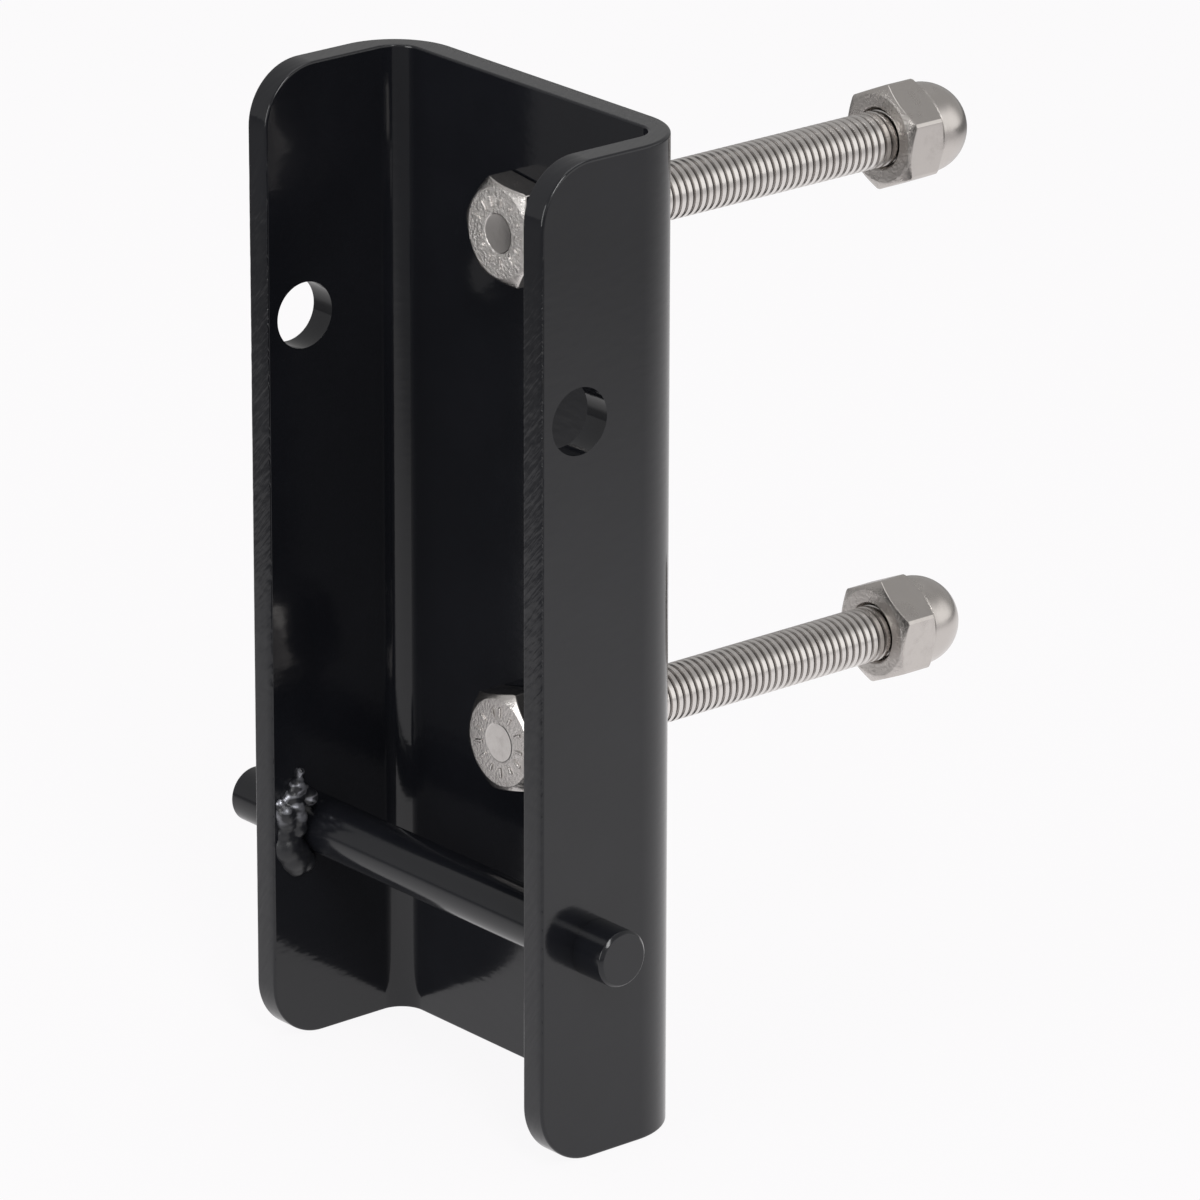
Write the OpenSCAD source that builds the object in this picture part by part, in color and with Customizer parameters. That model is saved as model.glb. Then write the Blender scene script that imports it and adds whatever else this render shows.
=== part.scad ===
// Tripod winch mounting bracket
// A steel plate folded into an upright channel, with a cross pin welded through its two flanges
// and two long hexagon bolts through its web. Dome nuts on the far ends of the bolts clamp the
// web against a tripod leg. The winch hooks on the cross pin and a lock pin passes through the
// two upper holes.
// Frame: origin at the middle of the web's back face, X across the flanges, +Y out of the back
// towards the leg, +Z up. Millimetres.

/* [Channel] */
// Width over the two flanges
channel_w = 77.5; // [70:0.5:90]
// Depth from the back face to the free edges of the flanges
channel_d = 34; // [32:0.5:45]
// Height of the channel
channel_h = 176; // [165:1:230]
// Thickness of the folded plate
plate_t = 5; // [3:0.5:6]
// Inner radius of the two folds
fold_r = 4.5; // [3:0.5:6]
// How much more the outside of a fold is rounded than an even wall would be, where the plate thins
fold_thinning = 2.5; // [0:0.5:3]
// Radius of the four free corners of the flanges
corner_r = 10.5; // [6:0.5:11]
// Width of the worn and painted bevel on every cut edge
edge_bevel = 0.7; // [0.3:0.1:1]

/* [Lock pin holes] */
// Diameter of the two holes in line near the top, after painting
lock_hole_d = 11.7; // [8:0.1:12.5]
// Depth of the hole axis below the top edge
lock_hole_from_top = 44.3; // [35:0.1:60]
// Distance of the hole axis from the free edge of the flange
lock_hole_from_edge = 8; // [7.5:0.1:12]
// Bevel round the mouths of the holes
hole_bevel = 0.4; // [0.2:0.1:0.8]

/* [Cross pin] */
// Diameter of the cross pin
pin_d = 10; // [8:0.5:12]
// Height of the pin axis above the bottom edge
pin_from_bottom = 38; // [30:0.5:45]
// Distance of the pin axis from the free edge of the flange
pin_from_edge = 11.5; // [10:0.5:14]
// Length that stands out of the left flange
pin_left_stub = 15.5; // [8:0.5:25]
// Length that stands out of the right flange
pin_right_stub = 7.5; // [5:0.5:20]
// Bevel at both ends of the pin
pin_bevel = 0.7; // [0.3:0.1:1.5]

/* [Weld beads] */
// Radius of the drops of weld laid between the pin and the free edge
drop_r = 3; // [2.6:0.1:3.4]
// Distance of the drops' centres outside the surface of the pin
drop_out = 2.4; // [0.5:0.1:2.4]
// Number of drops in each bead
drop_count = 7; // [6:1:10]
// Angle round the pin over which the drops are laid, with the free edge at its middle
weld_arc = 130; // [90:5:150]

/* [Bolts] */
// Outer diameter over the thread of an M10 bolt
thread_d = 9.9; // [9.5:0.1:10]
// Pitch of the thread, whose turns are drawn as ring grooves
thread_pitch = 1.5; // [1:0.25:2]
// Depth of the thread
thread_depth = 0.9; // [0.5:0.1:1]
// Gap round the bolt in its hole through the web
bolt_hole_gap = 0.5; // [0.3:0.1:1]
// Length of the bolts under the head
bolt_length = 90; // [60:1:130]
// Depth of the upper bolt's axis below the top edge
upper_bolt_from_top = 24.5; // [20:0.5:30]
// Height of the lower bolt's axis above the bottom edge
lower_bolt_from_bottom = 60.5; // [56:0.5:70]
// Width across the flats of the bolt heads
head_af = 17; // [16:0.5:18]
// Height of the bolt heads
head_k = 6.4; // [5:0.1:8]
// Diameter of the round faces inside the bevel of heads and nuts
face_d = 15.6; // [14.5:0.1:15.8]
// Height of the round washer face under each head
washer_face = 0.4; // [0.2:0.1:0.8]
// Bevel at the end of the thread
thread_bevel = 0.9; // [0.5:0.1:1.2]
// Turn of the upper bolt's head
upper_head_turn = -7; // [-30:1:30]
// Turn of the lower bolt's head
lower_head_turn = 12; // [-30:1:30]

/* [Dome nuts] */
// Length of the bolt's end that is screwed into the nut
thread_in_nut = 11.4; // [9:0.1:12]
// Width across the flats of the nuts
nut_af = 17; // [16:0.5:18]
// Height of the hexagon of the nuts
nut_hex_h = 8; // [7:0.5:9]
// Height of the nuts over the dome
nut_h = 18; // [17.5:0.5:20]
// Diameter of the dome
dome_d = 16; // [14.5:0.5:16]
// Gap between the end of the bolt and the floor of the nut's blind hole
tip_gap = 1.6; // [0.5:0.1:2]
// Diameter of the countersink at the open face
countersink_d = 11.2; // [10.6:0.1:11.6]
// Turn of both nuts
nut_turn = 24; // [-30:1:30]

/* [Hidden] */
// Smoothness of round shapes
$fn = 96;
// How far a cutting shape runs past the face that it cuts
over = 1;
half_w = channel_w / 2;
half_h = channel_h / 2;
outer_fold_r = fold_r + plate_t + fold_thinning;
inner_half_w = half_w - plate_t;
lock_hole_y = lock_hole_from_edge - channel_d;
lock_hole_z = half_h - lock_hole_from_top;
pin_y = pin_from_edge - channel_d;
pin_z = pin_from_bottom - half_h;
pin_l = channel_w + pin_left_stub + pin_right_stub;
upper_bolt_z = half_h - upper_bolt_from_top;
lower_bolt_z = lower_bolt_from_bottom - half_h;
bolt_hole_d = thread_d + 2 * bolt_hole_gap;
nut_from_web = bolt_length - plate_t - thread_in_nut;
nut_hole_depth = thread_in_nut + tip_gap;
// Flat crest and flat root of the thread, and its flank between them, along the bolt
thread_crest = thread_pitch / 8;
thread_root = thread_pitch / 4;
thread_flank = (thread_pitch - thread_crest - thread_root) / 2;
// Whole grooves between the neck under the head and the bevel at the end
thread_turns = floor((bolt_length - thread_bevel) / thread_pitch) - 1;
// Slope of the bevel on hexagons, 30 degrees from the flat face
hex_bevel_slope = tan(30);

// Folded plate

// Rectangle with its two back corners rounded, its back edge on y = 0
module back_rounded(w, d, r) {
    translate([-w / 2, -d]) square([w, d - r]);
    translate([r - w / 2, -r - 0.01]) square([w - 2 * r, r + 0.01]);
    for (side = [-1, 1])
        translate([side * (w / 2 - r), -r]) circle(r);
}

// Cross-section of the channel seen from above
module channel_section() {
    difference() {
        back_rounded(channel_w, channel_d, outer_fold_r);
        translate([0, -plate_t]) back_rounded(channel_w - 2 * plate_t, channel_d, fold_r);
    }
}

// What is cut away to round the free corners of both flanges, at the top
module corner_waste() {
    difference() {
        translate([-half_w - over, -channel_d - over, half_h - corner_r])
            cube([channel_w + 2 * over, corner_r + over, corner_r + over]);
        translate([-half_w - 2 * over, corner_r - channel_d, half_h - corner_r])
            rotate([0, 90, 0]) cylinder(h = channel_w + 4 * over, r = corner_r);
    }
}

// Triangle that bevels a square edge at the origin, where su and sv give the outward sides
module bevel_cut(su, sv) {
    reach = edge_bevel + over;
    polygon([[-su * reach, sv * over], [su * over, -sv * reach], [su * over, sv * over]]);
}

// Bevels along one rim of the plate in the upper right quarter of the channel
// x is the face of the flange, y the face of the web, r the fold and side the outward direction
module quarter_rim(x, y, r, side) {
    // free edge of the flange
    translate([x, -channel_d, 0]) linear_extrude(half_h - corner_r) bevel_cut(side, -1);
    // rounded corner of the flange
    translate([0, corner_r - channel_d, half_h - corner_r])
        rotate([90, 0, 90]) rotate([0, 0, 90]) rotate_extrude(angle = 90)
            translate([corner_r, x]) bevel_cut(1, side);
    // top edge of the flange
    translate([x, y - r, half_h]) rotate([90, 0, 0])
        linear_extrude(channel_d - corner_r - r + y) bevel_cut(side, 1);
    // top edge of the fold
    translate([x - r, y - r, half_h])
        rotate_extrude(angle = 90) translate([r, 0]) bevel_cut(side, 1);
    // top edge of the web, to the middle
    translate([0, y, half_h]) rotate([90, 0, 90])
        linear_extrude(x - r) bevel_cut(side, 1);
}

// Straight bore along X through both flanges, with bevelled mouths outside
module flange_bores(y, z, d, bevel) {
    translate([-half_w - over, y, z]) rotate([0, 90, 0]) cylinder(h = channel_w + 2 * over, d = d);
    for (side = [-1, 1])
        translate([side * half_w, y, z]) rotate([0, -90 * side, 0])
            translate([0, 0, -0.01]) cylinder(h = bevel, d1 = d + 2 * bevel, d2 = d);
}

module channel() {
    color("#2b2b30") difference() {
        translate([0, 0, -half_h]) linear_extrude(channel_h) channel_section();
        for (flip = [0, 1]) mirror([0, 0, flip]) corner_waste();
        for (across = [0, 1], flip = [0, 1]) mirror([across, 0, 0]) mirror([0, 0, flip]) {
            quarter_rim(half_w, 0, outer_fold_r, 1);
            quarter_rim(inner_half_w, -plate_t, fold_r, -1);
        }
        flange_bores(lock_hole_y, lock_hole_z, lock_hole_d, hole_bevel);
        translate([-half_w - over, pin_y, pin_z]) rotate([0, 90, 0])
            cylinder(h = channel_w + 2 * over, d = pin_d);
        for (z = [upper_bolt_z, lower_bolt_z])
            translate([0, over, z]) rotate([90, 0, 0])
                cylinder(h = plate_t + 2 * over, d = bolt_hole_d);
    }
}

// Cross pin and its welds

module cross_pin() {
    r = pin_d / 2;
    color("#2e2e33") translate([-half_w - pin_left_stub, pin_y, pin_z]) rotate([0, 90, 0])
        rotate_extrude() polygon([[0, 0], [r - pin_bevel, 0], [r, pin_bevel],
                                  [r, pin_l - pin_bevel], [r - pin_bevel, pin_l], [0, pin_l]]);
}

// Row of overlapping drops along the front of the pin, on the inner face of the flange at side
module weld_bead(side) {
    ring_r = pin_d / 2 + drop_out;
    color("#3a3a40") difference() {
        translate([side * inner_half_w, pin_y, pin_z]) {
            for (k = [0 : drop_count - 1])
                rotate([90 + weld_arc * (k / (drop_count - 1) - 0.5), 0, 0]) translate([0, 0, ring_r])
                    sphere(drop_r * (1 + 0.06 * sin(k * 137)));
        }
        translate([side * (inner_half_w + plate_t), pin_y, pin_z])
            cube([2 * plate_t, 4 * pin_d, 4 * pin_d], center = true);
        translate([-half_w - over, pin_y, pin_z]) rotate([0, 90, 0])
            cylinder(h = channel_w + 2 * over, d = pin_d);
    }
}

module weld_bead_left() {
    weld_bead(-1);
}

module weld_bead_right() {
    weld_bead(1);
}

// Bolts and dome nuts, drawn along +Z and turned to +Y

// Turns what is drawn along +Z so that it points along +Y at height z
module along_y(y, z) {
    translate([0, y, z]) rotate([-90, 0, 0]) children();
}

// Hexagonal prism of height h whose corners are bevelled at the ends named
module bevelled_hex(af, h, bevel_bottom, bevel_top) {
    corner = af / sqrt(3);
    reach = corner + over;
    drop = (reach - face_d / 2) * hex_bevel_slope;
    low = bevel_bottom ? drop : 0;
    high = bevel_top ? h - drop : h;
    intersection() {
        cylinder(h = h, r = corner, $fn = 6);
        rotate_extrude() polygon([[0, 0], [bevel_bottom ? face_d / 2 : reach, 0], [reach, low],
                                  [reach, high], [bevel_top ? face_d / 2 : reach, h], [0, h]]);
    }
}

// Half section of the threaded shank from inside the head to its bevelled end
module shank_section() {
    r = thread_d / 2;
    root_r = r - thread_depth;
    grooves = [for (k = [1 : thread_turns]) let (z = k * thread_pitch + thread_crest / 2)
        each [[r, z], [root_r, z + thread_flank], [root_r, z + thread_flank + thread_root],
              [r, z + thread_root + 2 * thread_flank]]];
    polygon(concat([[0, -head_k / 2], [r, -head_k / 2]], grooves,
                   [[r, bolt_length - thread_bevel], [r - thread_bevel, bolt_length], [0, bolt_length]]));
}

// Fully threaded bolt with its head inside the channel
module bolt(z, turn) {
    color("#b9b7b4") along_y(-plate_t, z) {
        translate([0, 0, -head_k]) rotate([0, 0, -turn])
            bevelled_hex(head_af, head_k - washer_face, true, false);
        translate([0, 0, -washer_face - over]) cylinder(h = washer_face + over, d = face_d);
        rotate_extrude() shank_section();
    }
}

module upper_bolt() {
    bolt(upper_bolt_z, upper_head_turn);
}

module lower_bolt() {
    bolt(lower_bolt_z, lower_head_turn);
}

// Dome nut, open towards the channel, with a blind hole for the end of the bolt
module dome_nut(z) {
    dome_r = dome_d / 2;
    sink = (countersink_d - thread_d) / 2;
    color("#a9a6a3") along_y(nut_from_web, z) difference() {
        union() {
            rotate([0, 0, -nut_turn]) bevelled_hex(nut_af, nut_hex_h, true, true);
            translate([0, 0, nut_hex_h / 2]) cylinder(h = nut_h - dome_r - nut_hex_h / 2, r = dome_r);
            translate([0, 0, nut_h - dome_r]) sphere(dome_r);
        }
        translate([0, 0, -over]) cylinder(h = nut_hole_depth + over, d = thread_d);
        translate([0, 0, -0.01]) cylinder(h = sink, d1 = countersink_d, d2 = thread_d);
    }
}

module upper_dome_nut() {
    dome_nut(upper_bolt_z);
}

module lower_dome_nut() {
    dome_nut(lower_bolt_z);
}

channel();
cross_pin();
weld_bead_left();
weld_bead_right();
upper_bolt();
lower_bolt();
upper_dome_nut();
lower_dome_nut();
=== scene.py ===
"""Tripod winch mounting bracket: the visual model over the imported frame.

Sizes in the classes are millimetres in the frame of the part's source. The origin is the middle of
the web's back face, X runs across the two flanges, Y points out of the back towards the leg and Z
points up. Meshes are made in millimetres and turned to metres as they are published.
"""

import logging
import math
import random
from collections.abc import Callable, Sequence
from dataclasses import dataclass
from enum import Enum

import bmesh
import bpy
from mathutils import Matrix, Vector, noise


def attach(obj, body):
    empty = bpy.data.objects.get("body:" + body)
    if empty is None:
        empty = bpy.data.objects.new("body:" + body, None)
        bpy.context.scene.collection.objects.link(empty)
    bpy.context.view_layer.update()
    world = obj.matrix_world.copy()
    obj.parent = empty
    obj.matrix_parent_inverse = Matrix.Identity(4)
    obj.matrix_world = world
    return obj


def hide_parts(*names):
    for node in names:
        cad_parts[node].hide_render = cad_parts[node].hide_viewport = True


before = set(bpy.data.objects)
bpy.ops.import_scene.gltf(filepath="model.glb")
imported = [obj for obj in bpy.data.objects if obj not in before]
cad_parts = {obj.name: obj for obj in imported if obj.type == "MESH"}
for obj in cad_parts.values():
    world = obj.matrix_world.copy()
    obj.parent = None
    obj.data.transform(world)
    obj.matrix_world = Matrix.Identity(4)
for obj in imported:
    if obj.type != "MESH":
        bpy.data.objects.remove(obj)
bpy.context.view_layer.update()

log = logging.getLogger("bracket")

MM = 0.001
TO_LEG = Matrix.Rotation(math.radians(-90.0), 3, "X")
TO_RIGHT = Matrix.Rotation(math.radians(90.0), 3, "Y")

# Sizes and places that more than one piece shares, in millimetres

WIDTH = 77.5
PLATE = 5.0
PIN_R = 5.0
PIN_Y, PIN_Z = -22.5, -50.0
UPPER_Z, LOWER_Z = 63.5, -27.5

Level = Callable[[float], tuple[float, float]]


class Slot(Enum):
    """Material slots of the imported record."""

    CHANNEL = "channel_paint"
    PIN = "pin_paint"
    WELD = "weld_paint"
    BOLT = "bolt_steel"
    NUT = "nut_steel"


class Side(Enum):
    """Flanges of the channel, with the sign of X at each."""

    LEFT = -1
    RIGHT = 1


# Colour and node helpers


def linear(colour: str) -> tuple[float, float, float, float]:
    """Turns an sRGB hex colour into linear light.

    Args:
        colour: Colour such as "#c8c4c0".

    Returns:
        Red, green and blue as linear values, with an alpha of 1.
    """
    parts = [int(colour[at:at + 2], 16) / 255 for at in (1, 3, 5)]
    red, green, blue = (p / 12.92 if p <= 0.04045 else ((p + 0.055) / 1.055) ** 2.4 for p in parts)
    return red, green, blue, 1.0


def add_node(
    tree: bpy.types.NodeTree,
    kind: str,
    values: dict[str | int, object] | None = None,
    links: dict[str | int, bpy.types.NodeSocket] | None = None,
    **settings: object,
) -> bpy.types.Node:
    """Adds one node with its settings, its values and its links.

    Args:
        tree: Node tree that gets the node.
        kind: Blender's type name of the node.
        values: Values of input sockets, by name or number.
        links: Output sockets to link to input sockets, by name or number.
        settings: Properties of the node itself.

    Returns:
        The new node.
    """
    made = tree.nodes.new(kind)
    for name, value in settings.items():
        setattr(made, name, value)
    for socket, value in (values or {}).items():
        made.inputs[socket].default_value = value
    for socket, source in (links or {}).items():
        tree.links.new(source, made.inputs[socket])
    return made


def fresh_tree(owner: bpy.types.Material | bpy.types.World) -> bpy.types.NodeTree:
    """Turns nodes on for a material or a world and returns its empty tree."""
    owner.use_nodes = True
    owner.node_tree.nodes.clear()
    return owner.node_tree


# Mesh helpers


def rings(bm: bmesh.types.BMesh, segments: int, levels: Sequence[Level]) -> None:
    """Draws a closed shell round +Z by extruding one ring from level to level.

    Args:
        bm: Mesh that gets the shell.
        segments: Number of corners of the ring.
        levels: Functions from an angle in radians to a radius and a height.
    """
    ring = bmesh.ops.create_circle(bm, cap_ends=False, radius=1.0, segments=segments)["verts"]
    angles = [math.atan2(v.co.y, v.co.x) for v in ring]
    edges = list({edge for v in ring for edge in v.link_edges})
    before: list[Vector] = []
    for number, level in enumerate(levels):
        if number:
            out = bmesh.ops.extrude_edge_only(bm, edges=edges)["geom"]
            grown = [item for item in out if isinstance(item, bmesh.types.BMVert)]
            edges = [item for item in out if isinstance(item, bmesh.types.BMEdge)
                     and all(v in grown for v in item.verts)]
            # the operator gives the new ring in any order, so it is put in that of the ring below
            ring = sorted(grown, key=lambda v: min(range(segments), key=lambda k: (v.co - before[k]).length))
        for vert, angle in zip(ring, angles):
            radius, height = level(angle)
            vert.co = Vector((radius * math.cos(angle), radius * math.sin(angle), height))
        before = [v.co.copy() for v in ring]


def soften(bm: bmesh.types.BMesh, offset: float, segments: int, least: float,
           wanted: Callable[[bmesh.types.BMEdge], bool] = lambda edge: True, limited: bool = True) -> None:
    """Bevels the edges at which two faces meet at more than an angle.

    Args:
        bm: Mesh to change.
        offset: Width of the bevel.
        segments: Number of steps across it.
        least: Smallest angle between the two faces, in degrees.
        wanted: Test that an edge has to pass as well.
        limited: True where short edges next to them make the bevel narrower.
    """
    sharp = [edge for edge in bm.edges if len(edge.link_faces) == 2
             and edge.calc_face_angle(0.0) > math.radians(least) and wanted(edge)]
    bmesh.ops.bevel(bm, geom=sharp, offset=offset, offset_type="OFFSET", segments=segments, profile=0.5,
                    affect="EDGES", clamp_overlap=limited, material=-1)


def tidy(bm: bmesh.types.BMesh, distance: float = 1e-4) -> None:
    """Merges doubled vertices and turns every face outwards."""
    bmesh.ops.remove_doubles(bm, verts=bm.verts, dist=distance)
    bmesh.ops.recalc_face_normals(bm, faces=bm.faces)


def as_object(bm: bmesh.types.BMesh, name: str) -> bpy.types.Object:
    """Frees a mesh into a new object of the scene, still in millimetres."""
    mesh = bpy.data.meshes.new(name)
    bm.to_mesh(mesh)
    bm.free()
    made = bpy.data.objects.new(name, mesh)
    bpy.context.scene.collection.objects.link(made)
    return made


def settled(piece: bpy.types.Object, helpers: Sequence[bpy.types.Object] = ()) -> bmesh.types.BMesh:
    """Applies an object's modifiers and removes it with the objects that helped.

    Args:
        piece: Object whose modifiers are applied.
        helpers: Objects that the modifiers use, such as cutters.

    Returns:
        The finished shape as a mesh in millimetres.
    """
    shaped = bpy.data.meshes.new_from_object(piece.evaluated_get(bpy.context.evaluated_depsgraph_get()))
    bm = bmesh.new()
    bm.from_mesh(shaped)
    bpy.data.meshes.remove(shaped)
    for used in (piece, *helpers):
        bpy.data.objects.remove(used)
    return bm


def publish(bm: bmesh.types.BMesh, name: str, finish: bpy.types.Material,
            replaced: Sequence[str], weighted: bool = True, sharp: float = 42.0) -> bpy.types.Object:
    """Makes a finished piece of a mesh and hands it to the frame.

    Args:
        bm: Mesh in millimetres, which is freed.
        name: Name of the piece.
        finish: Material of the piece.
        replaced: CAD nodes that the piece stands for.
        weighted: True where large flat faces set the shading.
        sharp: Angle in degrees from which an edge is shaded sharp.

    Returns:
        The piece.
    """
    bmesh.ops.scale(bm, vec=(MM, MM, MM), verts=bm.verts)
    for face in bm.faces:
        face.smooth = True
    for edge in bm.edges:
        edge.smooth = edge.calc_face_angle(0.0) < math.radians(sharp)
    faces = len(bm.faces)  # as_object frees the mesh
    piece = as_object(bm, name)
    piece.data.materials.append(finish)
    if weighted:
        shading = piece.modifiers.new("shading", "WEIGHTED_NORMAL")
        shading.mode = "FACE_AREA"
        shading.weight = 50
        shading.keep_sharp = True
    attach(piece, "root")
    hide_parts(*replaced)
    log.info("%s: %d faces, stands for %s", name, faces, ", ".join(replaced))
    return piece


def weigh(piece: bpy.types.Object, name: str, rule: Callable[[Vector], float]) -> None:
    """Writes a number for every vertex of a published piece.

    Args:
        piece: Piece that gets the attribute.
        name: Name of the attribute.
        rule: Function from a place in millimetres to the number.
    """
    kept = piece.data.attributes.new(name, "FLOAT", "POINT")
    for number, vert in enumerate(piece.data.vertices):
        kept.data[number].value = rule(vert.co / MM)


# Finishes


@dataclass(frozen=True)
class PowderCoat:
    """Black gloss powder coat over sheet steel: a dark mirror with fine orange peel.

    The marks of the shear and the grit are finer and shallower on the real plate. They are drawn as
    coarse and as deep as the render needs to show them.
    """

    name: str
    colour: str = "#15161a"
    dust: str = "#1f2025"
    roughness: float = 0.09
    peel_size: float = 1.7
    peel_depth: float = 0.02
    peel_stretch: tuple[float, float, float] = (0.55, 0.55, 1.3)
    grit_size: float = 0.55
    grit_depth: float = 0.0012
    shear_pitch: float = 1.7
    shear_slant: float = 1.2
    shear_depth: float = 0.45
    shear_drift: float = 0.4
    haze_size: float = 38.0
    haze_rough: float = 0.06
    # bare steel mixed in above a height: worn coat, and a painted highlight on the upper lumps
    bare_glint: str = "#a3a4ab"
    glint_above: float | None = None

    def material(self) -> bpy.types.Material:
        """Builds the node tree of the coat.

        Returns:
            The material.
        """
        made = bpy.data.materials.new(self.name)
        tree = fresh_tree(made)
        place = add_node(tree, "ShaderNodeTexCoord").outputs["Object"]
        # orange peel of the melted powder, a little longer across than up
        drawn = add_node(tree, "ShaderNodeMapping", {"Scale": self.peel_stretch}, {"Vector": place})
        peel = add_node(tree, "ShaderNodeTexNoise", {"Scale": 1 / (self.peel_size * MM), "Detail": 1.5,
                                                     "Roughness": 0.45}, {"Vector": drawn.outputs["Vector"]})
        grit = add_node(tree, "ShaderNodeTexNoise", {"Scale": 1 / (self.grit_size * MM), "Detail": 2.0},
                        {"Vector": place})
        # lines that the shear left across the cut edge, filled in part by the coat
        cut = add_node(tree, "ShaderNodeAttribute", attribute_name="cut_edge")
        run = add_node(tree, "ShaderNodeAttribute", attribute_name="edge_run")
        across = add_node(tree, "ShaderNodeSeparateXYZ", links={"Vector": place})
        slant = add_node(tree, "ShaderNodeMath", {1: -self.shear_slant / MM},
                         {0: across.outputs["X"], 2: run.outputs["Fac"]}, operation="MULTIPLY_ADD")
        drift = add_node(tree, "ShaderNodeMath", {1: self.shear_drift / MM},
                         {0: across.outputs["X"]}, operation="MULTIPLY")
        lines = add_node(tree, "ShaderNodeCombineXYZ", links={"X": slant.outputs["Value"],
                                                              "Y": drift.outputs["Value"]})
        shear = add_node(tree, "ShaderNodeTexNoise", {"Scale": 1 / self.shear_pitch, "Detail": 2.5,
                                                      "Roughness": 0.55}, {"Vector": lines.outputs["Vector"]})
        sheared = add_node(tree, "ShaderNodeMath", links={0: shear.outputs["Fac"], 1: cut.outputs["Fac"]},
                           operation="MULTIPLY")
        normal = None
        for depth, height in ((self.peel_depth, peel.outputs["Fac"]), (self.grit_depth, grit.outputs["Fac"]),
                              (self.shear_depth, sheared.outputs["Value"])):
            links = {"Height": height}
            if normal:
                links["Normal"] = normal
            normal = add_node(tree, "ShaderNodeBump", {"Strength": 1.0, "Distance": depth * MM},
                              links).outputs["Normal"]
        # dust and handling haze change the gloss in soft patches
        haze = add_node(tree, "ShaderNodeTexNoise", {"Scale": 1 / (self.haze_size * MM), "Detail": 4.0,
                                                     "Roughness": 0.6}, {"Vector": place})
        gloss = add_node(tree, "ShaderNodeMapRange",
                         {"From Min": 0.35, "From Max": 0.7, "To Min": self.roughness,
                          "To Max": self.roughness + self.haze_rough}, {"Value": haze.outputs["Fac"]})
        worn = add_node(tree, "ShaderNodeMapRange", {"From Min": 0.45, "From Max": 0.75, "To Min": 0.0,
                                                     "To Max": 0.5}, {"Value": haze.outputs["Fac"]})
        tone = add_node(tree, "ShaderNodeMix", {6: linear(self.colour), 7: linear(self.dust)},
                        {0: worn.outputs["Result"]}, data_type="RGBA")
        colour, links = tone.outputs[2], {"Roughness": gloss.outputs["Result"], "Normal": normal}
        if self.glint_above is not None:
            # worn coat and painted highlight: bright bare steel is mixed in above a height, where the upper
            # lumps catch the lamp
            height = add_node(tree, "ShaderNodeSeparateXYZ", links={"Vector": place}).outputs["Z"]
            above = add_node(tree, "ShaderNodeMapRange",
                             {"From Min": (self.glint_above - 2) * MM, "From Max": (self.glint_above + 2) * MM},
                             {"Value": height})
            thin = add_node(tree, "ShaderNodeMapRange", {"From Min": 0.42, "From Max": 0.6},
                            {"Value": peel.outputs["Fac"]})
            metal = add_node(tree, "ShaderNodeMath", links={0: above.outputs["Result"],
                                                            1: thin.outputs["Result"]}, operation="MULTIPLY")
            colour = add_node(tree, "ShaderNodeMix", {7: linear(self.bare_glint)},
                              {0: metal.outputs["Value"], 6: colour}, data_type="RGBA").outputs[2]
            links["Metallic"] = metal.outputs["Value"]
        coat = add_node(tree, "ShaderNodeBsdfPrincipled", {"IOR": 1.5}, {"Base Color": colour, **links})
        add_node(tree, "ShaderNodeOutputMaterial", links={"Surface": coat.outputs["BSDF"]})
        return made


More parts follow.
